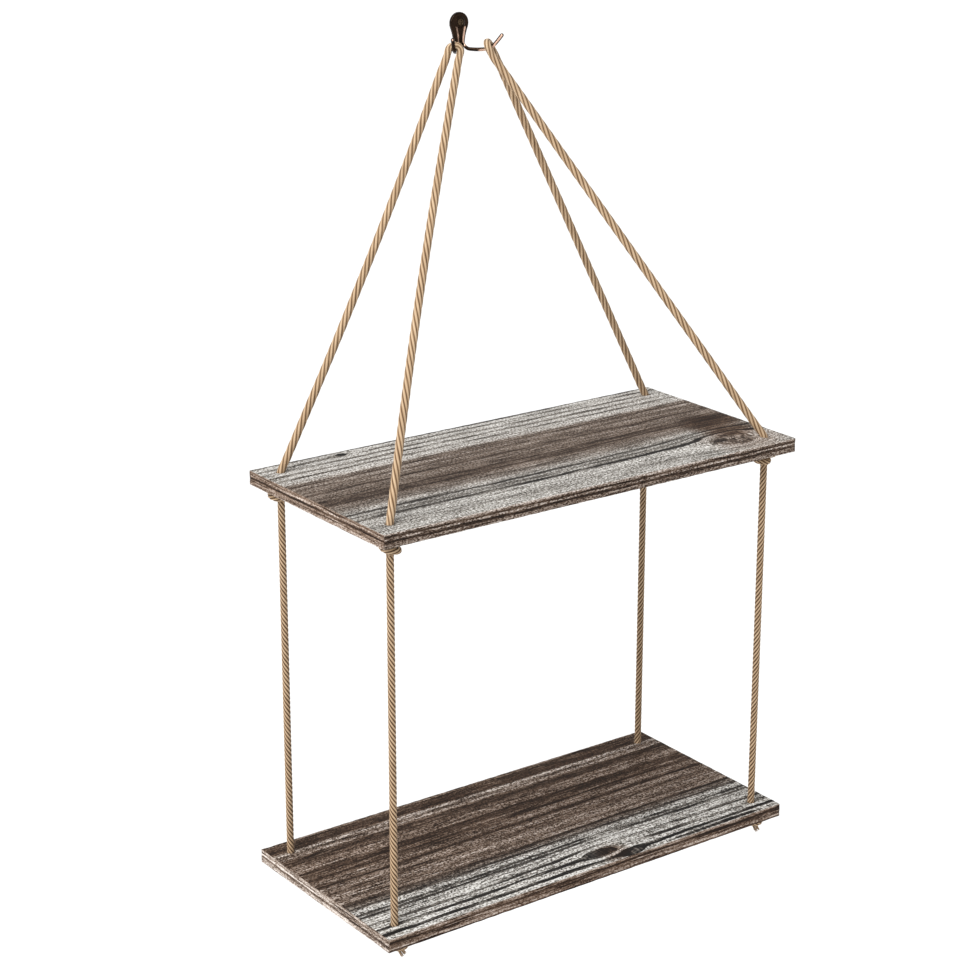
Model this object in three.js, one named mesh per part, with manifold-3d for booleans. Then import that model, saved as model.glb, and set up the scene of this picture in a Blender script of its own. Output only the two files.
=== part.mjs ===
// Hanging rope shelf: two wooden boards on two ropes, hung from a two-pronged wall hook.
// Millimetres, +Z up, +X along the boards, -Y out of the wall.
// The origin is on the wall, at the middle of the hook plate's rear face.
import * as THREE from "three";
import { mergeVertices } from "three/addons/utils/BufferGeometryUtils.js";
import Module from "manifold-3d";

const wasm = await Module();
wasm.setup();

// Boards
const boardLength = 430;
const boardDepth = 200;
const boardThickness = 12.5;
const boardArris = 0.6;
const holeFromEnd = 18.5;
const holeFromEdge = 19;
const holeDiameter = 7.2;
const wallGap = 1;
const tierSpacing = 349;
const boardBelowSeat = 332.2;

// Rope
const ropeDiameter = 6;
const knotStrandDiameter = 4;
const knotPlanUnit = 4.8;
const knotRiseUnit = 3.4;
const frayedEndDiameter = 7;
const frayedEndLength = 3.4;
const legStartReach = 5;
const legMouthReach = 2;
// How far each leg bows aside at its middle, towards +X
const legBows = { left_front: -4, left_back: 4, right_front: 0, right_back: 0 };

// Hook plate
const plateHeadRadius = 9.1;
const plateHeadRise = 6.7;
const plateWaistWidth = 10.6;
const plateWaistDrop = 8.6;
const plateFootWidth = 8.6;
const plateFootDrop = 15.4;
const plateThickness = 3.2;
const plateEdgeRound = 1;
const bossRadius = 4.9;
const bossHeight = 0.9;

// Hook prongs
const prongDiameter = 3.3;
const ridgeDiameter = 2.6;
const ridgeTopRise = 3.4;
const ridgeTopAside = 4.2;
const prongRootAside = 2.7;
const prongRootOut = 4;
const prongTipAside = 25.2;
const prongTipOut = 27.8;
const prongLowDrop = 14.9;
const prongTipDrop = 2.6;

// Screws
const upperScrewLength = 15;
const lowerScrewLength = 10;
const screwTipLength = 4;
const upperScrewRise = 7.6;
const lowerScrewDrop = 11.2;
const upperScrewHeadDiameter = 6;
const upperScrewShankDiameter = 3;
const lowerScrewHeadDiameter = 4.6;
const lowerScrewShankDiameter = 2.4;
const screwDomeHeight = 0.7;
const recessWidth = 0.8;
const recessDepth = 0.9;
const recessRimWidth = 0.9;

// Clearances: between still pieces, where a leg turns below its bend, at the ends of a lower rope,
// round a screw, and round a prong
const touchGap = 0.3;
const legGap = 0.85;
const flexGap = 0.6;
const screwClearance = 0.4;
const prongClearance = 0.5;
const cutOverrun = 5;
const weldDistance = 1e-4;

// Facet counts
const ropeSides = 8;
const legSteps = 28;
const legBowSteps = 24;
const stretchSteps = 22;
const bendSteps = 14;
const knotSides = 6;
const knotSteps = 46;
const prongSides = 12;
const prongSteps = 40;
const lathePoints = 24;
const holePoints = 10;
const roundSteps = 3;

// The prong after its root: the share of its reach from root to tip,
// and the share of its rise from its lowest level to its tip
const prongRouteShares = [
  [0.1, 0.06],
  [0.25, 0],
  [0.42, 0],
  [0.57, 0.04],
  [0.69, 0.13],
  [0.79, 0.32],
  [0.89, 0.62],
  [1, 1],
];
const seatRouteIndex = 4;

// Half of an overhand knot, in knot units, from the rope's entry to the middle of the wrap.
// The other half is this one turned over.
const knotHalfShares = [
  [0, 0, 2.2],
  [0, 0, 1.9],
  [-0.2, -0.16, 1.42],
  [-0.46, -0.18, 0.98],
  [-0.56, -0.08, 0.46],
  [-0.54, 0, 0],
  [-0.54, 0.12, -0.46],
  [-0.36, 0.68, -0.9],
  [0.22, 1.12, -0.92],
  [0.95, 1.02, -0.74],
  [1.5, 0.42, -0.55],
  [1.5, -0.4, -0.34],
  [0.9, -1.02, -0.15],
];
const knotMiddleShares = [0, -1.18, 0];
const knotCrownShare = 0.96;
const knotNeckShare = 1.72;
const knotCollarShare = 1.95;
// An end knot's tail, which leaves off the knot's axis in place of the last outlet points
const knotTailShares = [
  [0.6, -0.14, -0.9],
  [0.74, -0.16, -1.3],
];
const knotTailIndex = 4;
// How far round each knot is turned, by corner, in degrees
const upperKnotTurns = { left_front: -115, left_back: 150, right_front: 170, right_back: 20 };
const lowerKnotTurns = { left_front: -30, left_back: -50, right_front: -45, right_back: -20 };

// Materials
const wood = { color: 0x9a8f86, roughness: 0.85, metalness: 0 };
const darkWood = { color: 0x7a6a5f, roughness: 0.85, metalness: 0 };
const jute = { color: 0xc6a274, roughness: 0.9, metalness: 0 };
const bronze = { color: 0x3a2a1f, roughness: 0.35, metalness: 0.9 };
const screwBronze = { color: 0x2c211a, roughness: 0.4, metalness: 0.9 };

// Levels and places that follow from the sizes above
const ropeRadius = ropeDiameter / 2;
const strandRadius = knotStrandDiameter / 2;
const holeAside = boardLength / 2 - holeFromEnd;
const boardMiddleY = -(wallGap + boardDepth / 2);
const backHoleY = boardMiddleY + (boardDepth / 2 - holeFromEdge);
const frontHoleY = boardMiddleY - (boardDepth / 2 - holeFromEdge);
const knotCrown = knotCrownShare * knotRiseUnit + strandRadius;
const knotReach = knotHalfShares[0][2] * knotRiseUnit;

const corners = [
  { name: "left_front", side: -1, y: frontHoleY, row: -1 },
  { name: "left_back", side: -1, y: backHoleY, row: 1 },
  { name: "right_front", side: 1, y: frontHoleY, row: -1 },
  { name: "right_back", side: 1, y: backHoleY, row: 1 },
];

// A closed geometry as a solid that can be joined and cut
function solidFrom(geometry) {
  const bare = geometry.clone();
  bare.deleteAttribute("normal");
  bare.deleteAttribute("uv");
  const merged = mergeVertices(bare, weldDistance);
  const triVerts = new Uint32Array(merged.index.array);
  const vertProperties = merged.attributes.position.array;
  return new wasm.Manifold(new wasm.Mesh({ numProp: 3, vertProperties, triVerts }));
}

function geometryFrom(solid) {
  const mesh = solid.getMesh();
  const geometry = new THREE.BufferGeometry();
  geometry.setAttribute("position", new THREE.BufferAttribute(mesh.vertProperties, mesh.numProp));
  geometry.setIndex(new THREE.BufferAttribute(mesh.triVerts, 1));
  geometry.computeVertexNormals();
  return geometry;
}

function joined(geometries, cutters = []) {
  let solid = solidFrom(geometries[0]);
  for (const geometry of geometries.slice(1)) {
    solid = solid.add(solidFrom(geometry));
  }
  for (const cutter of cutters) {
    solid = solid.subtract(solidFrom(cutter));
  }
  return geometryFrom(solid);
}

// A lathed form about +Z, from [radius, height] pairs that start and end on the axis
function turned(profile) {
  const points = profile.map(([radius, height]) => new THREE.Vector2(radius, height));
  return new THREE.LatheGeometry(points, lathePoints).rotateX(Math.PI / 2);
}

// A length of rope along a curve
function ropeAlong(curve, steps, diameter, sides) {
  const section = new THREE.Shape();
  for (let i = 0; i < sides; i += 1) {
    const angle = (i / sides) * 2 * Math.PI;
    const x = (diameter / 2) * Math.cos(angle);
    const y = (diameter / 2) * Math.sin(angle);
    if (i === 0) section.moveTo(x, y);
    else section.lineTo(x, y);
  }
  section.closePath();
  return new THREE.ExtrudeGeometry(section, { steps, extrudePath: curve, bevelEnabled: false });
}

// A round bar along a curve whose radius changes on the way, with rounded ends
function taperedBar(curve, radiusAt) {
  const frames = curve.computeFrenetFrames(prongSteps, false);
  const rings = [];
  const addRing = (t, along, radius, step) => {
    const middle = curve.getPointAt(t).addScaledVector(frames.tangents[step], along);
    const ring = [];
    for (let i = 0; i < prongSides; i += 1) {
      const angle = (i / prongSides) * 2 * Math.PI;
      const point = middle.clone();
      point.addScaledVector(frames.normals[step], radius * Math.cos(angle));
      point.addScaledVector(frames.binormals[step], radius * Math.sin(angle));
      ring.push(point);
    }
    rings.push(ring);
  };
  for (let i = 1; i <= roundSteps; i += 1) {
    const tilt = (i / (roundSteps + 1)) * (Math.PI / 2);
    addRing(0, -radiusAt(0) * Math.cos(tilt), radiusAt(0) * Math.sin(tilt), 0);
  }
  for (let step = 0; step <= prongSteps; step += 1) {
    const t = step / prongSteps;
    addRing(t, 0, radiusAt(t), step);
  }
  for (let i = roundSteps; i >= 1; i -= 1) {
    const tilt = (i / (roundSteps + 1)) * (Math.PI / 2);
    addRing(1, radiusAt(1) * Math.cos(tilt), radiusAt(1) * Math.sin(tilt), prongSteps);
  }
  const start = curve.getPointAt(0).addScaledVector(frames.tangents[0], -radiusAt(0));
  const end = curve.getPointAt(1).addScaledVector(frames.tangents[prongSteps], radiusAt(1));
  const vertices = [start, ...rings.flat(), end];
  const last = vertices.length - 1;
  const index = [];
  for (let i = 0; i < prongSides; i += 1) {
    const next = (i + 1) % prongSides;
    index.push(0, 1 + next, 1 + i);
    index.push(last, last - prongSides + i, last - prongSides + next);
    for (let r = 0; r < rings.length - 1; r += 1) {
      const here = 1 + r * prongSides;
      const there = here + prongSides;
      index.push(here + i, here + next, there + i);
      index.push(here + next, there + next, there + i);
    }
  }
  const geometry = new THREE.BufferGeometry().setFromPoints(vertices);
  geometry.setIndex(index);
  return geometry;
}

// Boards

function board(topZ) {
  const halfLength = boardLength / 2;
  const halfDepth = boardDepth / 2;
  const outline = new THREE.Shape();
  outline.moveTo(-halfLength, -halfDepth);
  outline.lineTo(halfLength, -halfDepth);
  outline.lineTo(halfLength, halfDepth);
  outline.lineTo(-halfLength, halfDepth);
  outline.closePath();
  for (const corner of corners) {
    const hole = new THREE.Path();
    const x = corner.side * holeAside;
    const y = corner.y - boardMiddleY;
    hole.absarc(x, y, holeDiameter / 2, 0, 2 * Math.PI, true);
    outline.holes.push(hole);
  }
  const geometry = new THREE.ExtrudeGeometry(outline, {
    depth: boardThickness - 2 * boardArris,
    bevelThickness: boardArris,
    bevelSize: boardArris,
    bevelOffset: -boardArris,
    bevelSegments: 1,
    curveSegments: holePoints,
  });
  return geometry.translate(0, boardMiddleY, topZ - boardThickness + boardArris);
}

// Hook

const prongRoot = new THREE.Vector3(prongRootAside, -prongRootOut, -prongLowDrop);
const prongTip = new THREE.Vector3(prongTipAside, -prongTipOut, -prongTipDrop);

// The line down the plate's face and out along the prong, for the right side
function prongCurve() {
  const face = -plateThickness;
  const ridgeTop = new THREE.Vector3(ridgeTopAside, face, ridgeTopRise);
  const ridgeWaist = new THREE.Vector3(prongRootAside, face, -plateWaistDrop / 2);
  const ridgeFoot = new THREE.Vector3(prongRootAside, face, -plateWaistDrop - ridgeDiameter / 2);
  const points = [ridgeTop, ridgeWaist, ridgeFoot];
  for (const [out, rise] of prongRouteShares) {
    const point = prongRoot.clone().lerp(prongTip, out);
    point.z = THREE.MathUtils.lerp(prongRoot.z, prongTip.z, rise);
    points.push(point);
  }
  return { curve: new THREE.CatmullRomCurve3(points, false, "centripetal"), count: points.length };
}

const rightProng = prongCurve();
const seatPointIndex = rightProng.count - prongRouteShares.length + seatRouteIndex;
const seatParameter = seatPointIndex / (rightProng.count - 1);
const seat = rightProng.curve.getPoint(seatParameter);
const seatTangent = rightProng.curve.getTangent(seatParameter);
const upperTopZ = seat.z - boardBelowSeat;
const lowerTopZ = upperTopZ - tierSpacing;

function prongRadiusAt(t) {
  return THREE.MathUtils.lerp(ridgeDiameter, prongDiameter, Math.min(1, 2 * t)) / 2;
}

function mirrored(geometry) {
  const copy = geometry.clone().scale(-1, 1, 1);
  const index = copy.index.array;
  for (let i = 0; i < index.length; i += 3) {
    [index[i + 1], index[i + 2]] = [index[i + 2], index[i + 1]];
  }
  return copy;
}

// The pear-shaped plate, with its face towards -Y
function hookPlate() {
  const inset = plateEdgeRound;
  const tangentAngle = Math.atan2(-(plateHeadRise + plateWaistDrop) / 2, plateHeadRadius * 2);
  const headX = plateHeadRadius * Math.cos(tangentAngle);
  const headZ = plateHeadRise + plateHeadRadius * Math.sin(tangentAngle);
  const waist = plateWaistWidth / 2;
  const foot = plateFootWidth / 2;
  const shoulder = -plateWaistDrop - foot / 2;
  const outline = new THREE.Shape();
  outline.moveTo(0, -plateFootDrop);
  outline.quadraticCurveTo(foot, -plateFootDrop, waist, shoulder);
  outline.bezierCurveTo(waist, -plateWaistDrop, waist, -plateWaistDrop / 2, headX, headZ);
  outline.absarc(0, plateHeadRise, plateHeadRadius, tangentAngle, Math.PI - tangentAngle, false);
  outline.bezierCurveTo(-waist, -plateWaistDrop / 2, -waist, -plateWaistDrop, -waist, shoulder);
  outline.quadraticCurveTo(-foot, -plateFootDrop, 0, -plateFootDrop);
  const geometry = new THREE.ExtrudeGeometry(outline, {
    depth: plateThickness - inset,
    bevelThickness: inset,
    bevelSize: inset,
    bevelOffset: -inset,
    bevelSegments: roundSteps,
    curveSegments: holePoints,
  });
  return geometry.rotateX(Math.PI / 2);
}

// Cuts away what the plate's rounding leaves behind the wall face
function wallCutter() {
  const size = 4 * (plateHeadRadius + plateFootDrop);
  return new THREE.BoxGeometry(size, size, size).translate(0, size / 2, 0);
}

function upperBoss() {
  const geometry = turned([
    [0, -plateThickness / 2],
    [bossRadius, -plateThickness / 2],
    [bossRadius, bossHeight / 3],
    [bossRadius - bossHeight, bossHeight],
    [0, bossHeight],
  ]);
  return geometry.rotateX(Math.PI / 2).translate(0, -plateThickness, upperScrewRise);
}

// The room for a screw: its shank and countersunk head with clearance all round
function screwCutter(headDiameter, shankDiameter, faceOut, z) {
  const head = headDiameter / 2 + screwClearance;
  const shank = shankDiameter / 2 + screwClearance;
  const geometry = turned([
    [0, -faceOut - cutOverrun],
    [shank, -faceOut - cutOverrun],
    [shank, -(head - shank)],
    [head, 0],
    [head, cutOverrun],
    [0, cutOverrun],
  ]);
  return geometry.rotateX(Math.PI / 2).translate(0, -faceOut, z);
}

// How far out of the wall each screw head's rim lies
const upperHeadOut = plateThickness + bossHeight;
const lowerHeadOut = plateThickness;

function hook() {
  const prong = taperedBar(rightProng.curve, prongRadiusAt);
  return joined(
    [hookPlate(), upperBoss(), prong, mirrored(prong)],
    [
      wallCutter(),
      screwCutter(upperScrewHeadDiameter, upperScrewShankDiameter, upperHeadOut, upperScrewRise),
      screwCutter(lowerScrewHeadDiameter, lowerScrewShankDiameter, lowerHeadOut, -lowerScrewDrop),
    ],
  );
}

function screw(length, headDiameter, shankDiameter, faceOut, z) {
  const head = headDiameter / 2;
  const shank = shankDiameter / 2;
  const body = turned([
    [0, -length],
    [shank, -length + screwTipLength],
    [shank, -(head - shank)],
    [head, 0],
    [head * Math.cos(Math.PI / 6), screwDomeHeight / 2],
    [head / 2, screwDomeHeight],
    [0, screwDomeHeight],
  ]);
  const recessLength = headDiameter - 2 * recessRimWidth;
  const recessZ = screwDomeHeight - recessDepth + cutOverrun / 2;
  const slot = new THREE.BoxGeometry(recessLength, recessWidth, cutOverrun).translate(0, 0, recessZ);
  const cross = slot.clone().rotateZ(Math.PI / 2);
  const geometry = joined([body], [slot, cross]);
  return geometry.rotateX(Math.PI / 2).translate(0, -faceOut, z);
}

function upperScrew() {
  const [head, shank] = [upperScrewHeadDiameter, upperScrewShankDiameter];
  return screw(upperScrewLength, head, shank, upperHeadOut, upperScrewRise);
}

function lowerScrew() {
  const [head, shank] = [lowerScrewHeadDiameter, lowerScrewShankDiameter];
  return screw(lowerScrewLength, head, shank, lowerHeadOut, -lowerScrewDrop);
}

// Ropes

// The way a rope is pulled at its seat, square to the prong, and the way across the prong towards the wall
function seatDirections(side) {
  const middle = new THREE.Vector3(side * seat.x, seat.y, seat.z);
  const tangent = new THREE.Vector3(side * seatTangent.x, seatTangent.y, seatTangent.z);
  const pull = new THREE.Vector3();
  for (const corner of corners.filter((c) => c.side === side)) {
    const mouth = new THREE.Vector3(side * holeAside, corner.y, upperTopZ);
    pull.add(mouth.sub(middle).normalize());
  }
  pull.addScaledVector(tangent, -pull.dot(tangent)).normalize();
  const across = new THREE.Vector3().crossVectors(tangent, pull).normalize();
  if (across.y < 0) across.negate();
  return { middle, pull, across };
}

const bendRadius = prongDiameter / 2 + prongClearance + ropeRadius;

// The half turn of rope over a prong
function ropeBend(side) {
  const { middle, pull, across } = seatDirections(side);
  const points = [];
  for (let i = 0; i <= bendSteps; i += 1) {
    const angle = (i / bendSteps) * Math.PI;
    const point = middle.clone();
    point.addScaledVector(across, bendRadius * Math.cos(angle));
    point.addScaledVector(pull, -bendRadius * Math.sin(angle));
    points.push(point);
  }
  return ropeAlong(new THREE.CatmullRomCurve3(points), bendSteps, ropeDiameter, ropeSides);
}

// Where a leg starts, below the bend's end
function legStart(corner) {
  const { middle, pull, across } = seatDirections(corner.side);
  return middle.addScaledVector(across, corner.row * bendRadius).addScaledVector(pull, legGap);
}

// A leg from the bend down to its hole's mouth in the upper board
function upperLeg(corner) {
  const { pull } = seatDirections(corner.side);
  const start = legStart(corner);
  const mouth = new THREE.Vector3(corner.side * holeAside, corner.y, upperTopZ + touchGap);
  const leaving = start.clone().addScaledVector(pull, legStartReach);
  const arriving = mouth.clone();
  arriving.z += legMouthReach;
  const points = [start];
  for (let i = 0; i <= legBowSteps; i += 1) {
    const share = i / legBowSteps;
    const point = leaving.clone().lerp(arriving, share);
    point.x += legBows[corner.name] * Math.sin(share * Math.PI);
    points.push(point);
  }
  points.push(mouth);
  const curve = new THREE.CatmullRomCurve3(points, false, "centripetal");
  return ropeAlong(curve, legSteps, ropeDiameter, ropeSides);
}

// The overhand knot's strand, about its own middle. It ends in a straight outlet or a leaning tail.
function knotCurve(frayed) {
  const units = new THREE.Vector3(knotPlanUnit, knotPlanUnit, knotRiseUnit);
  const place = ([x, y, z]) => new THREE.Vector3(x, y, z).multiply(units);
  const first = knotHalfShares.map(place);
  const kept = knotHalfShares.slice(frayed ? knotTailIndex : 0);
  const last = kept.map(([x, y, z]) => place([-x, y, -z])).reverse();
  const tail = frayed ? knotTailShares.map(place) : [];
  const points = [...first, place(knotMiddleShares), ...last, ...tail];
  return new THREE.CatmullRomCurve3(points, false, "centripetal");
}

// The least gap between two turns of a strand, on points more than two widths apart along it
function leastGap(curve, diameter) {
  const count = knotSteps * knotSides;
  const points = curve.getSpacedPoints(count);
  const spacing = curve.getLength() / count;
  let least = Infinity;
  for (let i = 0; i <= count; i += 1) {
    for (let j = i + 1; j <= count; j += 1) {
      if ((j - i) * spacing > (1 + Math.PI / 2) * diameter) {
        least = Math.min(least, points[i].distanceTo(points[j]));
      }
    }
  }
  return least - diameter;
}

// The flared loose end of a tail
function frayedTip(curve) {
  const flare = turned([
    [0, -frayedEndLength],
    [frayedEndDiameter / 2, -frayedEndLength],
    [strandRadius, 0],
    [strandRadius, strandRadius],
    [0, strandRadius],
  ]);
  const down = new THREE.Vector3(0, 0, -1);
  const lean = new THREE.Quaternion().setFromUnitVectors(down, curve.getTangent(1));
  return flare.applyQuaternion(lean).translate(...curve.getPoint(1));
}

// The rope where it leaves a knot and swells to its full width
function knotOutlet(neck, collar) {
  return turned([
    [0, -knotReach],
    [ropeRadius, -knotReach],
    [ropeRadius, -collar],
    [strandRadius, -neck],
    [0, -neck],
  ]);
}

// A knot under a board, with the rope through the hole above it and its outlet or frayed tail
function knot(corner, boardTopZ, turn, frayed) {
  const middleZ = boardTopZ - boardThickness - touchGap - knotCrown;
  const neck = knotNeckShare * knotRiseUnit;
  const collar = knotCollarShare * knotRiseUnit;
  const curve = knotCurve(frayed);
  const strand = ropeAlong(curve, knotSteps, knotStrandDiameter, knotSides);
  const stub = turned([
    [0, neck],
    [strandRadius, neck],
    [ropeRadius, collar],
    [ropeRadius, boardTopZ - middleZ],
    [0, boardTopZ - middleZ],
  ]);
  const end = frayed ? frayedTip(curve) : knotOutlet(neck, collar);
  const geometry = joined([strand, stub, end]);
  geometry.rotateZ(THREE.MathUtils.degToRad(turn));
  return geometry.translate(corner.side * holeAside, corner.y, middleZ);
}

// The level at which an upper knot's outlet ends
const outletZ = upperTopZ - boardThickness - touchGap - knotCrown - knotReach;

// The straight rope between the boards
function lowerStretch(corner) {
  const top = new THREE.Vector3(corner.side * holeAside, corner.y, outletZ - flexGap);
  const bottom = new THREE.Vector3(corner.side * holeAside, corner.y, lowerTopZ + flexGap);
  return ropeAlong(new THREE.LineCurve3(top, bottom), stretchSteps, ropeDiameter, ropeSides);
}

// Assembly

const shelf = new THREE.Group();

function add(name, geometry, material, group) {
  const mesh = new THREE.Mesh(geometry, new THREE.MeshStandardMaterial(material));
  mesh.name = name;
  group.add(mesh);
}

function hookGroup() {
  const group = new THREE.Group();
  add("wall_hook", hook(), bronze, group);
  add("upper_screw", upperScrew(), screwBronze, group);
  add("lower_screw", lowerScrew(), screwBronze, group);
  return group;
}

function boardsGroup() {
  const group = new THREE.Group();
  add("upper_board", board(upperTopZ), wood, group);
  add("lower_board", board(lowerTopZ), darkWood, group);
  return group;
}

function ropesGroup() {
  const group = new THREE.Group();
  add("left_rope_bend", ropeBend(-1), jute, group);
  add("right_rope_bend", ropeBend(1), jute, group);
  for (const corner of corners) {
    const upperTurn = upperKnotTurns[corner.name];
    const lowerTurn = lowerKnotTurns[corner.name];
    add(corner.name + "_leg", upperLeg(corner), jute, group);
    add(corner.name + "_upper_knot", knot(corner, upperTopZ, upperTurn, false), jute, group);
    add(corner.name + "_lower_rope", lowerStretch(corner), jute, group);
    add(corner.name + "_lower_knot", knot(corner, lowerTopZ, lowerTurn, true), jute, group);
  }
  return group;
}

shelf.add(hookGroup(), boardsGroup(), ropesGroup());
const knotGap = leastGap(knotCurve(false), knotStrandDiameter);
console.log("least gap between the turns of a knot: " + knotGap.toFixed(2) + " mm");

export default shelf;
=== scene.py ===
# Hanging rope shelf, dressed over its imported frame: twisted ropes with overhand knots,
# a cast bronze hook with its screws, and two limed, brushed boards.
# Routes and sizes are in millimetres, as in the part's source, and meshes in metres.
import math
import random

import bpy
import numpy as np
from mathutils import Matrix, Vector, noise


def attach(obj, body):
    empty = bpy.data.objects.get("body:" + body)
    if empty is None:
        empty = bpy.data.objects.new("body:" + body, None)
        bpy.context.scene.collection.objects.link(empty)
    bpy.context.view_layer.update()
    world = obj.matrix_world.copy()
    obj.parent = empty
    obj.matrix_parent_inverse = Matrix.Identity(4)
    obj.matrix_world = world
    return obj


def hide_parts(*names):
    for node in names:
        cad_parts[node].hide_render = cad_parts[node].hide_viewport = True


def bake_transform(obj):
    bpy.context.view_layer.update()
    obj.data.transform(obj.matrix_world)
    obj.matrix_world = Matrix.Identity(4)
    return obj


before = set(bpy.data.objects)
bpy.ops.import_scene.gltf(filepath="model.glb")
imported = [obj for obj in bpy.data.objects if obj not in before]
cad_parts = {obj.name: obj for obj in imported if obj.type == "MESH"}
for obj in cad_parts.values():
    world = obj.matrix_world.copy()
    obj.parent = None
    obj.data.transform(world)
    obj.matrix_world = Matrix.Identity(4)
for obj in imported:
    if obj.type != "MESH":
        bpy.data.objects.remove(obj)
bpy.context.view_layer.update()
MM = 0.001

# The photograph's camera
CAMERA_PLACE = (-1.1829, -1.6577, 0.2719)
CAMERA_TILT = 71.849
CAMERA_HEADING = -36.03
CAMERA_LENS = 90.49
SENSOR_WIDTH = 36

# Studio, with places and sizes in metres
STUDIO_TARGET = (0, -0.1, -0.4)
SKY_PANEL_PLACE = (-2.4, -0.6, 2.2)
SKY_PANEL_ANGLE = 50
SKY_PANEL_POWER = 2.6
KEY_PLACE = (-1.5, -0.7, 0.6)
KEY_SIZE = 0.4
KEY_POWER = 7
ROOM_LIGHT = 0.6

# Boards
BOARD_LENGTH = 430
BOARD_DEPTH = 200
BOARD_THICKNESS = 12.5
BOARD_MIDDLE_Y = -101
UPPER_TOP = -345.501
LOWER_TOP = -694.501
HOLE_ASIDE = 196.5
BACK_HOLE_Y = -20
FRONT_HOLE_Y = -182
HOLE_RADIUS = 3.6
ARRIS = 0.5
GRID_STEP = 2.5
PATCH_HALF = 8
PATCH_CELLS = 8
PATCH_RINGS = 4
RIM_CELLS = 5
SIDE_LEVELS = 6
ROUND_STEPS = 3
WARP_HEIGHT = 0.08
WARP_SIZES = (70, 16, 9)
WEAR_DEPTH = 0.45
WEAR_SIZES = (7, 7, 4)
WEAR_LEVEL = 0.15

# Ropes
ROPE_RADIUS = 3
KNOT_STRAND_RADIUS = 2.7
KNOT_PLAN_UNIT = 5.4
KNOT_RISE_UNIT = 3.4
KNOT_DROP = 18.064
SEAT = (18.225, -20.422, -13.301)
SEAT_TANGENT = (0.619, -0.655, 0.432)
BEND_RADIUS = 5.15
BEND_STEPS = 10
BEND_STEP_ANGLE = 10
LEG_GAP = 0.85
LEG_START_REACH = 5
LEG_STEPS = 25
LEG_FOOT_DEPTH = 1
LEG_RADIUS = 3.3
LEG_SWELL_START = 10
LEG_SWELL_LENGTH = 15
LEG_BOWS = {"left_front": -4, "left_back": 4, "right_front": 0, "right_back": 0}
HOLE_REACH = 3.5
KNOT_ENTRY_DEPTH = 2
STRETCH_LEVELS = 12
STRANDS = 6
STRAND_POINTS = 8
GROOVE_POWER = 1.7
LEG_LAY_LENGTH = 59
LEG_GROOVE_SHARE = 0.12
STRETCH_LAY_LENGTH = 26.7
STRETCH_GROOVE_SHARE = 0.17
RING_SPACING = 1.3
PATH_SPACING = 4
UPPER_KNOT_TURNS = {"left_front": -115, "left_back": 150, "right_front": 170, "right_back": 20}
LOWER_KNOT_TURNS = {"left_front": -30, "left_back": -50, "right_front": -45, "right_back": -20}
FRAY_YARNS = 4
YARN_ANGLE_SHARE = 0.25
YARN_LENGTH_SHARES = (0.6, 1)
YARN_FIBRES = 16
YARN_REACH = 1.5
YARN_RADIUS = 0.85
FRAY_LENGTH = 7.2
FRAY_START = 1.6
FRAY_SPREAD = 1.45
FIBRE_RADIUS = 0.25
FIBRE_LENGTH_SHARES = (0.8, 1.05)
FIBRE_GROOVE_SHARE = 0.5
FIBRE_TURN = 0.5
FIBRE_LOOSENING_SHARE = 0.5
FIBRE_TAPER_SHARE = 0.5
FIBRE_STEPS = 6
FIBRE_SIDES = 4

# Floor, in millimetres as the meshes are
FLOOR_LEVEL = -2600
FLOOR_HALF = 60000
FLOOR_TONE = 0.93

# Half of the overhand knot, in knot units, from the rope's entry to the middle of the wrap
KNOT_HALF_SHARES = [
    (0, 0, 2.2), (0, 0, 1.9), (-0.2, -0.16, 1.42), (-0.46, -0.18, 0.98), (-0.56, -0.08, 0.46),
    (-0.54, 0, 0), (-0.54, 0.12, -0.46), (-0.36, 0.68, -0.9), (0.22, 1.12, -0.92),
    (0.95, 1.02, -0.74), (1.5, 0.42, -0.55), (1.5, -0.4, -0.34), (0.9, -1.02, -0.15),
]
KNOT_MIDDLE_SHARES = (0, -1.18, 0)
KNOT_COLLAR_SHARE = 1.95
KNOT_DRAW_LENGTH = 5
# An end knot's tail, in place of the last four outlet points
KNOT_TAIL_SHARES = [(0.6, -0.14, -0.9), (0.74, -0.16, -1.3)]
KNOT_TAIL_INDEX = 4

CORNERS = [
    ("left_front", -1, FRONT_HOLE_Y, -1),
    ("left_back", -1, BACK_HOLE_Y, 1),
    ("right_front", 1, FRONT_HOLE_Y, -1),
    ("right_back", 1, BACK_HOLE_Y, 1),
]

# Screws: name, height, length, how far out its rim lies, core radius, thread rise, thread pitch
SCREWS = [
    ("upper_screw", 7.6, 15, 4.1, 1.5, 0.6, 1.35),
    ("lower_screw", -11.2, 10, 3.2, 1.2, 0.5, 1.15),
]
SCREW_TIP_LENGTH = 4
THREAD_START = 4.4
THREAD_END = 1.2
THREAD_SINK = 0.15
THREAD_STEPS = 20
THREAD_TIP_SHARE = 0.35
SCREW_BEVEL = 0.12

# Hook casting
CASTING_VOXEL = 0.24
CASTING_SMOOTHING = 6
CASTING_SMOOTHING_SHARE = 0.5
# Where the casting shows copper: wear on its outer edges, and painted highlights on the plate's
# ridges, along the arms and on the prongs' tips. Amounts run from 0 to 1, a facing is the cosines at
# which the painted highlight starts and is full
RUB_SPREAD_STEPS = 6
RUB_QUANTILES = (0.76, 0.95)
EDGE_RUB = 0.4
LEFT_RIDGE_HIGHLIGHT = 0.58
RIGHT_RIDGE_HIGHLIGHT = 0.85
RIDGE_CREST_OUT = 4.0
RIDGE_CREST_FADE = 0.3
RIDGE_END_Z = -13
PRONG_START_OUT = 7
LEFT_PRONG_HIGHLIGHT = 0.3
ARM_HIGHLIGHT_START = 9
ARM_HIGHLIGHT_FADE = 3
ARM_HIGHLIGHT_WAY = (-0.45, -0.8, -0.4)
ARM_FACING = (0.66, 0.9)
ARM_END_Z = -11
PRONG_TIP_Z = -5
TIP_HIGHLIGHT_WAY = (-0.62, -0.78, 0.05)
TIP_FACING = (0.8, 0.96)


# Camera

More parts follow.
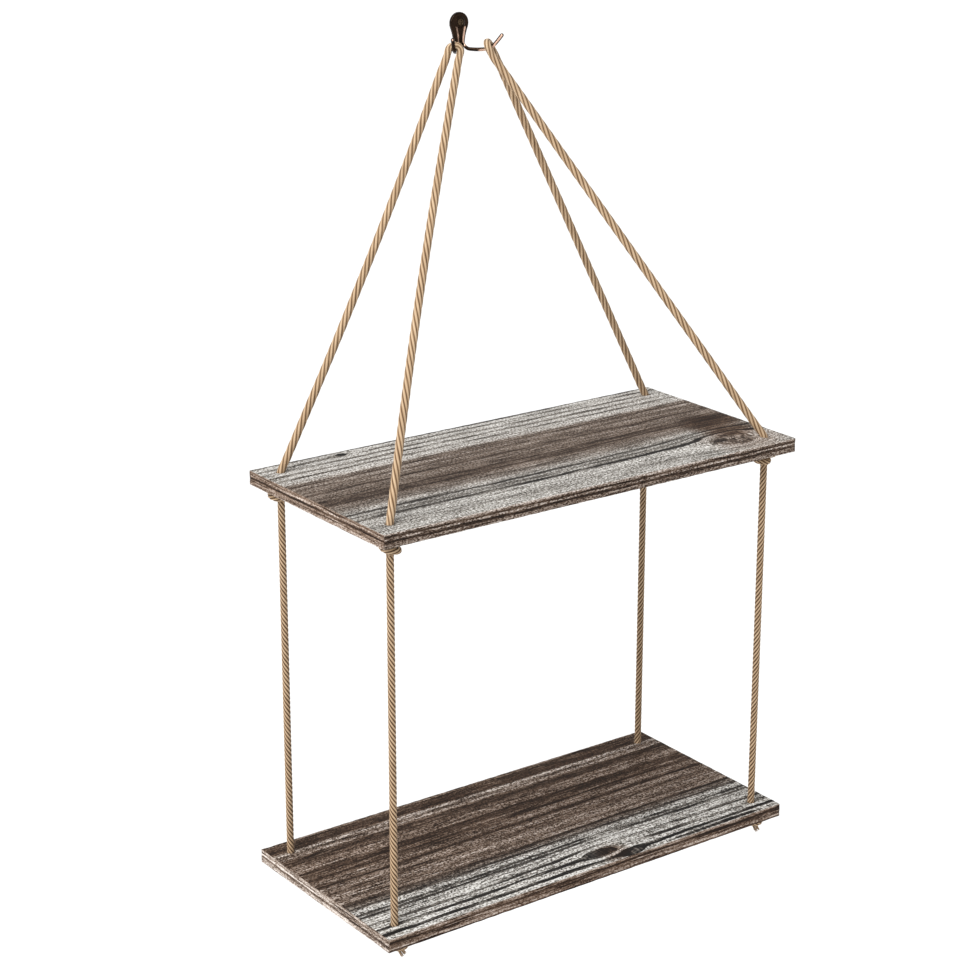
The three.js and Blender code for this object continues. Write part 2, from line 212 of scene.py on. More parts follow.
def place_camera():
    data = bpy.data.cameras.new("camera")
    data.lens = CAMERA_LENS
    data.sensor_width = SENSOR_WIDTH
    camera = bpy.data.objects.new("camera", data)
    camera.location = CAMERA_PLACE
    camera.rotation_euler = (math.radians(CAMERA_TILT), 0, math.radians(CAMERA_HEADING))
    bpy.context.scene.collection.objects.link(camera)
    bpy.context.scene.camera = camera


# Meshes

def mesh_object(name, points, faces):
    """A new smooth object from points in millimetres."""
    mesh = bpy.data.meshes.new(name)
    mesh.from_pydata((np.asarray(points) * MM).tolist(), [], faces)
    mesh.polygons.foreach_set("use_smooth", [True] * len(mesh.polygons))
    mesh.update()
    piece = bpy.data.objects.new(name, mesh)
    bpy.context.scene.collection.objects.link(piece)
    return piece


def store(piece, name, values):
    """Keeps one number or one vector for each vertex, for the material to read."""
    values = np.asarray(values, np.float32)
    kind, field = ("FLOAT", "value") if values.ndim == 1 else ("FLOAT_VECTOR", "vector")
    attribute = piece.data.attributes.new(name, kind, "POINT")
    attribute.data.foreach_set(field, values.ravel())


def smooth_curve(points, steps=10):
    """Points on a centripetal curve through the given ones."""
    points = np.asarray(points, float)
    chain = np.vstack([2 * points[0] - points[1], points, 2 * points[-1] - points[-2]])
    pieces = []
    for i in range(len(points) - 1):
        p0, p1, p2, p3 = chain[i:i + 4]
        t1 = math.sqrt(np.linalg.norm(p1 - p0))
        t2 = t1 + math.sqrt(np.linalg.norm(p2 - p1))
        t3 = t2 + math.sqrt(np.linalg.norm(p3 - p2))
        t = np.linspace(t1, t2, steps, endpoint=False)[:, None]
        a1 = ((t1 - t) * p0 + t * p1) / t1
        a2 = ((t2 - t) * p1 + (t - t1) * p2) / (t2 - t1)
        a3 = ((t3 - t) * p2 + (t - t2) * p3) / (t3 - t2)
        b1 = ((t2 - t) * a1 + t * a2) / t2
        b2 = ((t3 - t) * a2 + (t - t1) * a3) / (t3 - t1)
        pieces.append(((t2 - t) * b1 + (t - t1) * b2) / (t2 - t1))
    return np.vstack(pieces + [points[-1:]])


def spaced(points, spacing):
    """The same line at even steps, and how far along it each step lies."""
    along = np.r_[0, np.cumsum(np.linalg.norm(np.diff(points, axis=0), axis=1))]
    count = max(2, round(along[-1] / spacing))
    at = np.linspace(0, along[-1], count + 1)
    return np.stack([np.interp(at, along, points[:, k]) for k in range(3)], axis=1), at


def carried_frames(path, first):
    """A frame at each step, carried along the line without turning about it."""
    tangents = np.gradient(path, axis=0)
    tangents /= np.linalg.norm(tangents, axis=1)[:, None]
    normal = np.asarray(first, float)
    normals = []
    for tangent in tangents:
        normal = normal - tangent * normal.dot(tangent)
        normal = normal / np.linalg.norm(normal)
        normals.append(normal)
    normals = np.array(normals)
    return normals, np.cross(tangents, normals)


def rope_mesh(name, points, first, lay_length, groove_share, hand, radius_at=None):
    """A twisted rope along a line: strands as lobes that wind about it."""
    path, at = spaced(points, RING_SPACING)
    normals, binormals = carried_frames(path, first)
    sides = STRANDS * STRAND_POINTS
    round_angles = np.arange(sides) * 2 * math.pi / sides
    offset = (np.arange(sides) + STRAND_POINTS / 2) % STRAND_POINTS / (STRAND_POINTS / 2) - 1
    groove = np.abs(offset) ** GROOVE_POWER
    section = 1 + groove_share * (groove.mean() - groove)
    radii = np.full(len(at), float(ROPE_RADIUS)) if radius_at is None else radius_at(path, at)
    angles = round_angles[None, :] + hand * 2 * math.pi * at[:, None] / lay_length
    reach = radii[:, None] * section[None, :]
    across = (reach * np.cos(angles))[..., None] * normals[:, None, :]
    aside = (reach * np.sin(angles))[..., None] * binormals[:, None, :]
    vertices = (path[:, None, :] + across + aside).reshape(-1, 3)
    faces = []
    for i in range(len(at) - 1):
        for j in range(sides):
            k = (j + 1) % sides
            faces.append((i * sides + j, i * sides + k, (i + 1) * sides + k, (i + 1) * sides + j))
    faces.append(tuple(reversed(range(sides))))
    faces.append(tuple(range((len(at) - 1) * sides, len(at) * sides)))
    piece = mesh_object(name, vertices, faces)
    lay = np.empty((len(at), sides, 3))
    lay[..., 0] = at[:, None]
    lay[..., 1] = ROPE_RADIUS * np.cos(round_angles)[None, :]
    lay[..., 2] = ROPE_RADIUS * np.sin(round_angles)[None, :]
    store(piece, "lay", lay.reshape(-1, 3))
    # The groove's profile, scaled by how deep this rope's grooves are, is kept for the material as
    # painted shade in the grooves between the strands.
    store(piece, "groove", np.tile(groove * groove_share / STRETCH_GROOVE_SHARE, len(at)))
    return piece


# Rope routes

def seat_directions(side):
    """The seat on a prong, and the prong's, the pull's and the cross directions there."""
    middle = np.array([side * SEAT[0], SEAT[1], SEAT[2]])
    tangent = np.array([side * SEAT_TANGENT[0], SEAT_TANGENT[1], SEAT_TANGENT[2]])
    tangent /= np.linalg.norm(tangent)
    pull = np.zeros(3)
    for y in (FRONT_HOLE_Y, BACK_HOLE_Y):
        way = np.array([side * HOLE_ASIDE, y, UPPER_TOP]) - middle
        pull += way / np.linalg.norm(way)
    pull -= tangent * pull.dot(tangent)
    pull /= np.linalg.norm(pull)
    across = np.cross(tangent, pull)
    return middle, tangent, pull, across * math.copysign(1, across[1])


def leg_points(corner):
    """Half of the turn over the prong, then the leg, then down into the board's hole."""
    name, side, y, row = corner
    middle, _, pull, across = seat_directions(side)
    points = []
    for step in range(BEND_STEPS):
        angle = math.radians(BEND_STEP_ANGLE * step)
        out = across * row * BEND_RADIUS * math.sin(angle)
        points.append(middle + out - pull * BEND_RADIUS * math.cos(angle))
    start = middle + across * row * BEND_RADIUS + pull * LEG_GAP
    leaving = start + pull * LEG_START_REACH
    mouth = np.array([side * HOLE_ASIDE, y, UPPER_TOP])
    arriving = mouth - np.array([0, 0, LEG_FOOT_DEPTH])
    for step in range(LEG_STEPS):
        share = step / (LEG_STEPS - 1)
        point = leaving + (arriving - leaving) * share
        point[0] += LEG_BOWS[name] * math.sin(share * math.pi)
        points.append(point)
    points.append(mouth - np.array([0, 0, HOLE_REACH]))
    return smooth_curve(points)


def knot_points(corner, board_top, turn, tailed=False):
    """The overhand knot under a board, with the rope through the hole above it."""
    _, side, y, _ = corner
    units = np.array([KNOT_PLAN_UNIT, KNOT_PLAN_UNIT, KNOT_RISE_UNIT])
    first = np.array(KNOT_HALF_SHARES) * units
    kept = first[KNOT_TAIL_INDEX:] if tailed else first
    knot = np.vstack([first, np.array(KNOT_MIDDLE_SHARES) * units, kept[::-1] * (-1, 1, -1)])
    if tailed:
        knot = np.vstack([knot, np.array(KNOT_TAIL_SHARES) * units])
    c, s = math.cos(math.radians(turn)), math.sin(math.radians(turn))
    knot = knot @ np.array([[c, s, 0], [-s, c, 0], [0, 0, 1]])
    knot += (side * HOLE_ASIDE, y, board_top - KNOT_DROP)
    entry = (side * HOLE_ASIDE, y, board_top - KNOT_ENTRY_DEPTH)
    return np.vstack([entry, knot])


def knot_radius(middle_z):
    """The strand draws in where it enters the knot and swells again where it leaves."""
    reach = KNOT_COLLAR_SHARE * KNOT_RISE_UNIT

    def radius_at(path, at):
        inside = np.abs(path[:, 2] - middle_z) < reach
        entry, leave = at[inside][0], at[inside][-1]
        drawn = np.clip((at - entry) / KNOT_DRAW_LENGTH, 0, 1)
        drawn *= np.clip((leave - at) / KNOT_DRAW_LENGTH, 0, 1)
        drawn = drawn * drawn * (3 - 2 * drawn)
        return ROPE_RADIUS + (KNOT_STRAND_RADIUS - ROPE_RADIUS) * drawn

    return radius_at


def leg_radius(path, at):
    """A leg's open lay makes it fuller between the bend and the board's hole."""
    swell = np.clip((at - LEG_SWELL_START) / LEG_SWELL_LENGTH, 0, 1)
    swell *= np.clip((at[-1] - at) / LEG_SWELL_LENGTH, 0, 1)
    return ROPE_RADIUS + (LEG_RADIUS - ROPE_RADIUS) * swell


def make_leg(corner, material):
    name, side, _, row = corner
    middle, tangent, pull, across = seat_directions(side)
    points = leg_points(corner)
    rope = rope_mesh(name + "_leg_rope", points, tangent, LEG_LAY_LENGTH,
                     LEG_GROOVE_SHARE, side, leg_radius)
    rope.data.materials.append(material)
    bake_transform(rope)
    bend = "left_rope_bend" if side < 0 else "right_rope_bend"
    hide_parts(name + "_leg", bend)


def make_lower_rope(corner, material):
    """The knot under the upper board and the stretch down to the lower one, in one piece."""
    name, side, y, _ = corner
    x = side * HOLE_ASIDE
    knot = knot_points(corner, UPPER_TOP, UPPER_KNOT_TURNS[name])
    levels = np.linspace(knot[-1][2] - PATH_SPACING, LOWER_TOP - HOLE_REACH, STRETCH_LEVELS)
    points = smooth_curve(np.vstack([knot] + [(x, y, z) for z in levels]))
    radius_at = knot_radius(UPPER_TOP - KNOT_DROP)
    rope = rope_mesh(name + "_knotted_rope", points, (1, 0, 0), STRETCH_LAY_LENGTH,
                     STRETCH_GROOVE_SHARE, side, radius_at)
    rope.data.materials.append(material)
    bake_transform(rope)
    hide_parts(name + "_upper_knot", name + "_lower_rope")
    return rope, points


def make_lower_knot(corner, material):
    name, side, y, _ = corner
    x = side * HOLE_ASIDE
    knot = knot_points(corner, LOWER_TOP, LOWER_KNOT_TURNS[name], tailed=True)
    points = smooth_curve(knot)
    radius_at = knot_radius(LOWER_TOP - KNOT_DROP)
    rope = rope_mesh(name + "_end_knot", points, (1, 0, 0), STRETCH_LAY_LENGTH,
                     STRETCH_GROOVE_SHARE, side, radius_at)
    rope.data.materials.append(material)
    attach(rope, "lower_tier")
    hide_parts(name + "_lower_knot")
    return rope, points


def yarn_fibre(dice, middle_angle, length):
    """One loose fibre of a yarn: rings of points down its way, and where it lay in the rope."""
    aside = YARN_RADIUS * math.sqrt(dice.random())
    about = dice.uniform(0, 2 * math.pi)
    rings = []
    for step in range(FIBRE_STEPS):
        share = step / (FIBRE_STEPS - 1)
        reach = YARN_REACH * (1 + (FRAY_SPREAD - 1) * share * share)
        turn = middle_angle + FIBRE_TURN * share
        loose = aside * (1 + FIBRE_LOOSENING_SHARE * share)
        x = reach * math.cos(turn) + loose * math.cos(about)
        y = reach * math.sin(turn) + loose * math.sin(about)
        z = FRAY_START - (length + FRAY_START) * share
        radius = FIBRE_RADIUS * (1 - FIBRE_TAPER_SHARE * share)
        for k in range(FIBRE_SIDES):
            around = 2 * math.pi * k / FIBRE_SIDES
            rings.append((x + radius * math.cos(around), y + radius * math.sin(around), z))
    return rings, (aside * math.cos(about), aside * math.sin(about))


def make_frayed_end(corner, line, material):
    """The loose yarns at the end of an end knot's tail."""
    name = corner[0]
    dice = random.Random(name)
    vertices, faces, lay, groove = [], [], [], []
    for yarn in range(FRAY_YARNS):
        shift = dice.uniform(-YARN_ANGLE_SHARE, YARN_ANGLE_SHARE)
        angle = 2 * math.pi * (yarn + shift) / FRAY_YARNS
        yarn_length = FRAY_LENGTH * dice.uniform(*YARN_LENGTH_SHARES)
        for _ in range(YARN_FIBRES):
            base = len(vertices)
            length = yarn_length * dice.uniform(*FIBRE_LENGTH_SHARES)
            rings, (aside, across) = yarn_fibre(dice, angle, length)
            vertices += rings
            lay += [(z, aside + yarn, across) for _, _, z in rings]
            groove += [dice.uniform(0, FIBRE_GROOVE_SHARE)] * len(rings)
            for step in range(FIBRE_STEPS - 1):
                for k in range(FIBRE_SIDES):
                    here = base + FIBRE_SIDES * step
                    n = (k + 1) % FIBRE_SIDES
                    faces.append((here + k, here + FIBRE_SIDES + k, here + FIBRE_SIDES + n, here + n))
            faces.append(tuple(base + len(rings) - 1 - k for k in range(FIBRE_SIDES)))
    lean = Vector((0, 0, -1)).rotation_difference(Vector(line[-1] - line[-2])).to_matrix()
    piece = mesh_object(name + "_frayed_end", np.array(vertices) @ np.array(lean).T + line[-1], faces)
    store(piece, "lay", lay)
    store(piece, "groove", groove)
    piece.data.materials.append(material)
    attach(piece, "lower_tier")
    return piece


def make_ropes(material):
    for corner in CORNERS:
        make_leg(corner, material)
        rope, points = make_lower_rope(corner, material)
        knot, knot_line = make_lower_knot(corner, material)
        frayed = make_frayed_end(corner, knot_line, material)


# Boards

def grid_lines(half, hole):
    """Grid lines across a board: fine beside the holes and even elsewhere."""
    inner, outer = hole - PATCH_HALF, hole + PATCH_HALF
    middle = np.linspace(-inner, inner, 2 * round(inner / GRID_STEP) + 1)
    beside = np.linspace(inner, outer, PATCH_CELLS + 1)[1:]
    rim = np.linspace(outer, half - ARRIS, RIM_CELLS + 1)[1:]
    right = np.r_[beside, rim]
    return np.r_[-right[::-1], middle, right]


def edge_profile():
    """How far out and how far down each step of a rounded edge lies, from top to bottom."""
    steps = []
    for k in range(1, ROUND_STEPS + 1):
        angle = math.pi / 2 * k / ROUND_STEPS
        steps.append((ARRIS * math.sin(angle), ARRIS * (1 - math.cos(angle))))
    for k in range(1, SIDE_LEVELS):
        steps.append((ARRIS, ARRIS + (BOARD_THICKNESS - 2 * ARRIS) * k / SIDE_LEVELS))
    for out, drop in reversed(steps[:ROUND_STEPS]):
        steps.append((out, BOARD_THICKNESS - drop))
    return steps


def in_spans(k, spans):
    return any(low <= k < high for low, high in spans)


def board_plan():
    """The board's top as a grid with a round hole in each corner patch."""
    xs = grid_lines(BOARD_LENGTH / 2, HOLE_ASIDE)
    ys = grid_lines(BOARD_DEPTH / 2, BOARD_MIDDLE_Y - FRONT_HOLE_Y)
    columns = len(ys)
    points = [(x, y) for x in xs for y in ys]
    first, last = RIM_CELLS, RIM_CELLS + PATCH_CELLS
    x_spans = [(first, last), (len(xs) - 1 - last, len(xs) - 1 - first)]
    y_spans = [(first, last), (len(ys) - 1 - last, len(ys) - 1 - first)]
    faces = []
    for i in range(len(xs) - 1):
        for j in range(len(ys) - 1):
            if not (in_spans(i, x_spans) and in_spans(j, y_spans)):
                a = i * columns + j
                faces.append((a, a + columns, a + columns + 1, a + 1))
    holes = []
    for i0, i1 in x_spans:
        for j0, j1 in y_spans:
            ring = [i * columns + j0 for i in range(i0, i1)]
            ring += [i1 * columns + j for j in range(j0, j1)]
            ring += [i * columns + j1 for i in range(i1, i0, -1)]
            ring += [i0 * columns + j for j in range(j1, j0, -1)]
            middle = np.mean([points[k] for k in ring], axis=0)
            outer = np.array([points[k] for k in ring]) - middle
            rim = outer / np.linalg.norm(outer, axis=1)[:, None] * (HOLE_RADIUS + ARRIS)
            for step in range(1, PATCH_RINGS + 1):
                base = len(points)
                share = step / PATCH_RINGS
                points += [tuple(p) for p in middle + outer + (rim - outer) * share]
                inner = list(range(base, base + len(ring)))
                for k in range(len(ring)):
                    n = (k + 1) % len(ring)
                    faces.append((ring[k], ring[n], inner[n], inner[k]))
                ring = inner
            holes.append((ring, middle))
    edge = [i * columns for i in range(len(xs) - 1)]
    edge += [(len(xs) - 1) * columns + j for j in range(len(ys) - 1)]
    edge += [i * columns + columns - 1 for i in range(len(xs) - 1, 0, -1)]
    edge += list(range(columns - 1, 0, -1))
    return np.array(points), faces, edge, holes


def board_mesh(name, top):
    """A board with rounded, worn arrises and four rounded holes."""
    plan, plan_faces, edge, holes = board_plan()
    count = len(plan)
    upper = np.c_[plan, np.zeros(count)]
    lower = np.c_[plan, np.full(count, -BOARD_THICKNESS)]
    blocks = [upper, lower]
    faces = list(plan_faces) + [tuple(count + k for k in reversed(face)) for face in plan_faces]
    total = 2 * count
    limits = np.array([BOARD_LENGTH / 2 - ARRIS, BOARD_DEPTH / 2 - ARRIS])
    rims = [(edge, None)] + holes
    for loop, middle in rims:
        base = plan[loop]
        if middle is None:
            out_way = np.where(np.abs(np.abs(base) - limits) < ARRIS / 10, np.sign(base), 0)
        else:
            out_way = (middle - base) / np.linalg.norm(middle - base, axis=1)[:, None]
        previous = list(loop)
        for out, drop in edge_profile():
            blocks.append(np.c_[base + out_way * out, np.full(len(loop), -drop)])
            current = list(range(total, total + len(loop)))
            total += len(loop)
            faces += side_faces(previous, current)
            previous = current
        faces += side_faces(previous, [count + k for k in loop])
    points = np.vstack(blocks) + (0, BOARD_MIDDLE_Y, top)
    used = np.unique(np.concatenate([np.array(face) for face in faces]))
    renumber = np.full(len(points), -1)
    renumber[used] = np.arange(len(used))
    piece = mesh_object(name, points[used], [tuple(int(renumber[k]) for k in face) for face in faces])
    wear_board(piece, top)
    return piece


def side_faces(upper_loop, lower_loop):
    size = len(upper_loop)
    faces = []
    for k in range(size):
        n = (k + 1) % size
        faces.append((upper_loop[k], lower_loop[k], lower_loop[n], upper_loop[n]))
    return faces


def vertex_values(mesh, name):
    """A vector for each vertex, such as its place or its normal."""
    values = np.empty(len(mesh.vertices) * 3)
    mesh.vertices.foreach_get(name, values)
    return values.reshape(-1, 3)


def wear_board(piece, top):
    """Warps the faces slightly and rubs the outer arrises down unevenly."""
    places = vertex_values(piece.data, "co")
    normals = vertex_values(piece.data, "normal")
    seed = Vector((0, 0, top))
    for k, place in enumerate(places / MM):
        x, y, z = place
        warp = WARP_HEIGHT * noise.noise(Vector(place / WARP_SIZES) + seed)
        from_end = BOARD_LENGTH / 2 - abs(x)
        from_side = BOARD_DEPTH / 2 - abs(y - BOARD_MIDDLE_Y)
        depth = min(top - z, z - top + BOARD_THICKNESS)
        on_edge = max(0.0, 1 - sorted((from_end, from_side, depth))[1] / (2 * ARRIS))
        rub = max(0.0, noise.noise(Vector(place / WEAR_SIZES) + seed) + WEAR_LEVEL)
        places[k] += normals[k] * (warp - WEAR_DEPTH * rub * on_edge) * MM
    piece.data.vertices.foreach_set("co", places.ravel())
    piece.data.update()


def make_boards():
    for tier, top, look in (("upper", UPPER_TOP, UPPER_LOOK), ("lower", LOWER_TOP, LOWER_LOOK)):
        board = board_mesh(tier + "_board_timber", top)
        board.data.materials.append(wood_material(tier + "_wood", top, look))
        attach(board, tier + "_tier")
        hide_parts(tier + "_board")


# Hook and screws

def make_hook():
    """The hook as one casting: the part's own solid, softened, with its worn edges and its painted
    highlights marked.
    """
    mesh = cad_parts["wall_hook"].data.copy()
    mesh.name = "hook_casting"
    casting = bpy.data.objects.new("hook_casting", mesh)
    bpy.context.scene.collection.objects.link(casting)
    mesh.materials.clear()
    remesh = casting.modifiers.new("cast_skin", "REMESH")
    remesh.mode = "VOXEL"
    remesh.voxel_size = CASTING_VOXEL * MM
    smooth = casting.modifiers.new("soft_edges", "SMOOTH")
    smooth.iterations = CASTING_SMOOTHING
    smooth.factor = CASTING_SMOOTHING_SHARE
    bpy.context.view_layer.update()
    evaluated = casting.evaluated_get(bpy.context.evaluated_depsgraph_get())
    casting.data = bpy.data.meshes.new_from_object(evaluated)
    casting.modifiers.clear()
    casting.data.polygons.foreach_set("use_smooth", [True] * len(casting.data.polygons))
    # The rub values hold the edge wear and the painted highlights together.
    store(casting, "rub", wear_and_highlights(casting.data))
    casting.data.materials.append(bronze_material("bronze", *HOOK_BRONZE))
    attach(casting, "hook")
    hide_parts("wall_hook")


def facing_share(normals, way, start, full):
    """How squarely each normal looks along a way: 0 up to one cosine, 1 from another."""
    way = np.array(way) / np.linalg.norm(way)
    return np.clip((normals @ way - start) / (full - start), 0, 1)


def wear_and_highlights(mesh):
    """How much copper each vertex shows: wear on the edges, and painted highlights on the plate's two
    ridges, the arms and the prongs' tips.
    """
    count = len(mesh.vertices)
    places = vertex_values(mesh, "co")
    normals = vertex_values(mesh, "normal")
    pairs = np.empty(len(mesh.edges) * 2, int)
    mesh.edges.foreach_get("vertices", pairs)
    a, b = pairs.reshape(-1, 2).T
    degree = np.bincount(a, minlength=count) + np.bincount(b, minlength=count)

    def neighbours(values):
        total = np.zeros_like(values)
        np.add.at(total, a, values[b])
        np.add.at(total, b, values[a])
        shape = (-1,) + (1,) * (values.ndim - 1)
        return total / degree.reshape(shape)

    stand_out = ((places - neighbours(places)) * normals).sum(1)
    for _ in range(RUB_SPREAD_STEPS):
        stand_out = (stand_out + neighbours(stand_out)) / 2
    low, high = np.quantile(stand_out, RUB_QUANTILES)
    edges = np.clip((stand_out - low) / (high - low), 0, 1)
    # Painted highlights: copper on the faces of the arms that look forward and down, and on the faces
    # of the prongs' tips that look forward.
    facing_arm = facing_share(normals, ARM_HIGHLIGHT_WAY, *ARM_FACING)
    facing_tip = facing_share(normals, TIP_HIGHLIGHT_WAY, *TIP_FACING)
    out, side, up = -places[:, 1] / MM, places[:, 0], places[:, 2] / MM
    on_prong = np.clip(out - PRONG_START_OUT, 0, 1)
    on_tip = np.clip(up - PRONG_TIP_Z, 0, 1)
    on_arm = np.clip((np.abs(side) / MM - ARM_HIGHLIGHT_START) / ARM_HIGHLIGHT_FADE, 0, 1)
    prong_share = np.maximum(np.where(side < 0, LEFT_PRONG_HIGHLIGHT, on_arm), on_tip)
    facing = facing_arm + (facing_tip - facing_arm) * np.clip(up - ARM_END_Z, 0, 1)
    # Painted highlight along the crests of the plate's two ridges, stronger on the right one.
    on_crest = np.clip((out - RIDGE_CREST_OUT) / RIDGE_CREST_FADE, 0, 1) * (1 - on_prong)
    on_crest *= np.where(side < 0, LEFT_RIDGE_HIGHLIGHT, RIGHT_RIDGE_HIGHLIGHT) * np.clip(up - RIDGE_END_Z, 0, 1)
    return np.maximum.reduce([edges * EDGE_RUB, on_crest, facing * on_prong * prong_share])


def make_threads(material):
    """The helical ridge round each screw's shank."""
    for name, z, length, rim_out, core, rise, pitch in SCREWS:
        start, end = THREAD_START, length - THREAD_END
        turns = (end - start) / pitch
        count = round(turns * THREAD_STEPS)
        vertices, faces = [], []
        for step in range(count + 1):
            along = start + (end - start) * step / count
            angle = 2 * math.pi * turns * step / count
            taper = min(1, (length - along) / SCREW_TIP_LENGTH)
            fade = min(1, step / THREAD_STEPS)
            root = core * taper - THREAD_SINK
            crest = core * taper + rise * fade * (THREAD_TIP_SHARE + (1 - THREAD_TIP_SHARE) * taper)
            half_width = pitch / 4
            for radius, shift in ((root, -half_width), (crest, 0), (root, half_width)):
                x = radius * math.cos(angle)
                out = along - rim_out + shift
                vertices.append((x, out, z + radius * math.sin(angle)))
        for step in range(count):
            for k in range(3):
                n = (k + 1) % 3
                here, there = 3 * step, 3 * step + 3
                faces.append((here + k, there + k, there + n, here + n))
        faces.append((0, 1, 2))
        faces.append((3 * count + 2, 3 * count + 1, 3 * count))
        thread = mesh_object(name + "_thread", vertices, faces)
        thread.data.polygons.foreach_set("use_smooth", [False] * len(thread.data.polygons))
        thread.data.materials.append(material)
        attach(thread, "hook")


def dress_screws(material):
    for name, *_ in SCREWS:
        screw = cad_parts[name]
        screw.data.materials.clear()
        screw.data.materials.append(material)
        bevel = screw.modifiers.new("worn_edges", "BEVEL")
        bevel.width = SCREW_BEVEL * MM
        bevel.segments = 2
        bevel.limit_method = "ANGLE"
        bevel.harden_normals = True


# Material helpers

def srgb(red, green, blue):
    """A colour given as it looks, from 0 to 255, in the renderer's linear numbers."""
    shares = [value / 255 for value in (red, green, blue)]
    return tuple(s / 12.92 if s <= 0.04045 else ((s + 0.055) / 1.055) ** 2.4 for s in shares) + (1,)


SWING_GAIN = 5.0
# How much the fine streaks and the wide patches change a tone
STREAK_TONE = 0.08
PATCH_TONE = 0.06


class Recipe:
    """A material's nodes. Each call adds one node and gives its output back."""

    def __init__(self, name):
        self.material = bpy.data.materials.new(name)
        self.material.use_nodes = True
        self.tree = self.material.node_tree
        self.shader = self.tree.nodes["Principled BSDF"]

    def add(self, kind, inputs=(), output=0, **settings):
        node = self.tree.nodes.new("ShaderNode" + kind)
        for key, value in settings.items():
            setattr(node, key, value)
        for key, value in dict(inputs).items():
            self.feed(node.inputs[key], value)
        return node.outputs[output]

    def feed(self, socket, value):
        if isinstance(value, bpy.types.NodeSocket):
            self.tree.links.new(value, socket)
        else:
            socket.default_value = value

    def math(self, operation, a, b=0.0, c=0.0, clamp=False):
        return self.add("Math", {0: a, 1: b, 2: c}, operation=operation, use_clamp=clamp)

    def spread(self, value, low, high, to_low=0.0, to_high=1.0):
        """The value's way from low to high, eased and held at both ends."""
        inputs = {0: value, 1: low, 2: high, 3: to_low, 4: to_high}
        return self.add("MapRange", inputs, interpolation_type="SMOOTHSTEP")

    def join(self, x, y, z):
        return self.add("CombineXYZ", {0: x, 1: y, 2: z})

    def noise(self, x, y, z, sizes, detail=2.0, rough=0.5, seed=0.0):
        """Cloudy noise whose grains have these sizes in millimetres."""
        scaled = [self.math("DIVIDE", value, size) for value, size in zip((x, y, z), sizes)]
        place = self.join(*scaled)
        inputs = {"Vector": place, "W": seed, "Scale": 1.0, "Detail": detail, "Roughness": rough}
        return self.add("TexNoise", inputs, noise_dimensions="4D")

    def swing(self, x, y, z, sizes, detail=2.0, rough=0.5, seed=0.0):
        """The same noise about zero, mostly between -1 and 1."""
        cloudy = self.noise(x, y, z, sizes, detail, rough, seed)
        return self.math("MULTIPLY", self.math("SUBTRACT", cloudy, 0.5), SWING_GAIN)

    def plus(self, value, share, change):
        """The value with a share of another one added."""
        return self.math("MULTIPLY_ADD", change, share, value)

    def ramp(self, value, stops, interpolation="LINEAR"):
        """Colours or grey levels at chosen places from 0 to 1."""
        output = self.add("ValToRGB", {0: value})
        ramp = output.node.color_ramp
        ramp.interpolation = interpolation
        while len(ramp.elements) > 1:
            ramp.elements.remove(ramp.elements[0])
        for k, (place, colour) in enumerate(stops):
            element = ramp.elements[0] if k == 0 else ramp.elements.new(place)
            element.position = place
            element.color = colour if isinstance(colour, tuple) else (colour, colour, colour, 1)
        return output

    def mix(self, factor, a, b, blend="MIX"):
        inputs = {0: factor, 6: a, 7: b}
        return self.add("Mix", inputs, output=2, data_type="RGBA", blend_type=blend)

    def blend_values(self, factor, a, b):
        return self.add("Mix", {0: factor, 2: a, 3: b}, output=0, data_type="FLOAT")

    def bump(self, height, distance, strength=1.0):
        """Relief whose height of 1 stands this many millimetres proud."""
        inputs = {"Strength": strength, "Distance": distance * MM, "Height": height}
        return self.add("Bump", inputs)

    def millimetres(self):
        """The place on the object, as three values."""
        place = self.add("TexCoord", output="Object")
        scaled = self.add("VectorMath", {0: place, "Scale": 1 / MM}, operation="SCALE")
        parts = self.add("SeparateXYZ", {0: scaled}).node
        return parts.outputs[0], parts.outputs[1], parts.outputs[2]


# Wood

RELIEF_HEIGHT = 0.3
END_SPECKLE_SHARE = 0.6
PALE_HAIR_SHARE = 0.6
# Sizes of the grain's noises along it, across it and down through the board
LONG_WAVE_SIZES = (240, 80, 60)
SHORT_WAVE_SIZES = (40, 16, 30)
RAGGED_SIZES = (14, 1.4, 20)
BREAK_SIZES = (60, 10, 20)
STREAK_SIZES = (90, 4.5, 40)
HAIR_SIZES = (50, 1.3, 40)
PALE_HAIR_SIZES = (36, 1.2, 40)
SPECK_SIZES = (2, 1.2, 1.1)
WOOD_PATCH_SIZES = (50, 18, 18)
# How far the long wave, the short wave and the ragged noise shift the grain
FACE_SHIFTS = (1.1, 0.5)
EDGE_SHIFTS = (0.8, 0.3)
RAGGED_LINE_SHIFT = 0.6
RAGGED_BAND_SHIFT = 0.4
RAGGED_EDGE_SHIFT = 0.2
STAIN_SHIFT = 5.0
# A dark line's even core and its end, in its half width, and the core of a stain in its radius
LINE_CORE_SHARE = 0.6
LINE_END_SHARE = 0.9
STAIN_CORE_SHARE = 0.3
# A knot's edge and wobble in its radius, and the waviness, number and strength of its rings
KNOT_EDGE_SHARES = (0.7, 1.15)
KNOT_WOBBLE_SHARES = (0.3, -0.2)
RING_WOBBLE = 0.12
RING_RATE = 15.0
RING_TONE = 0.09
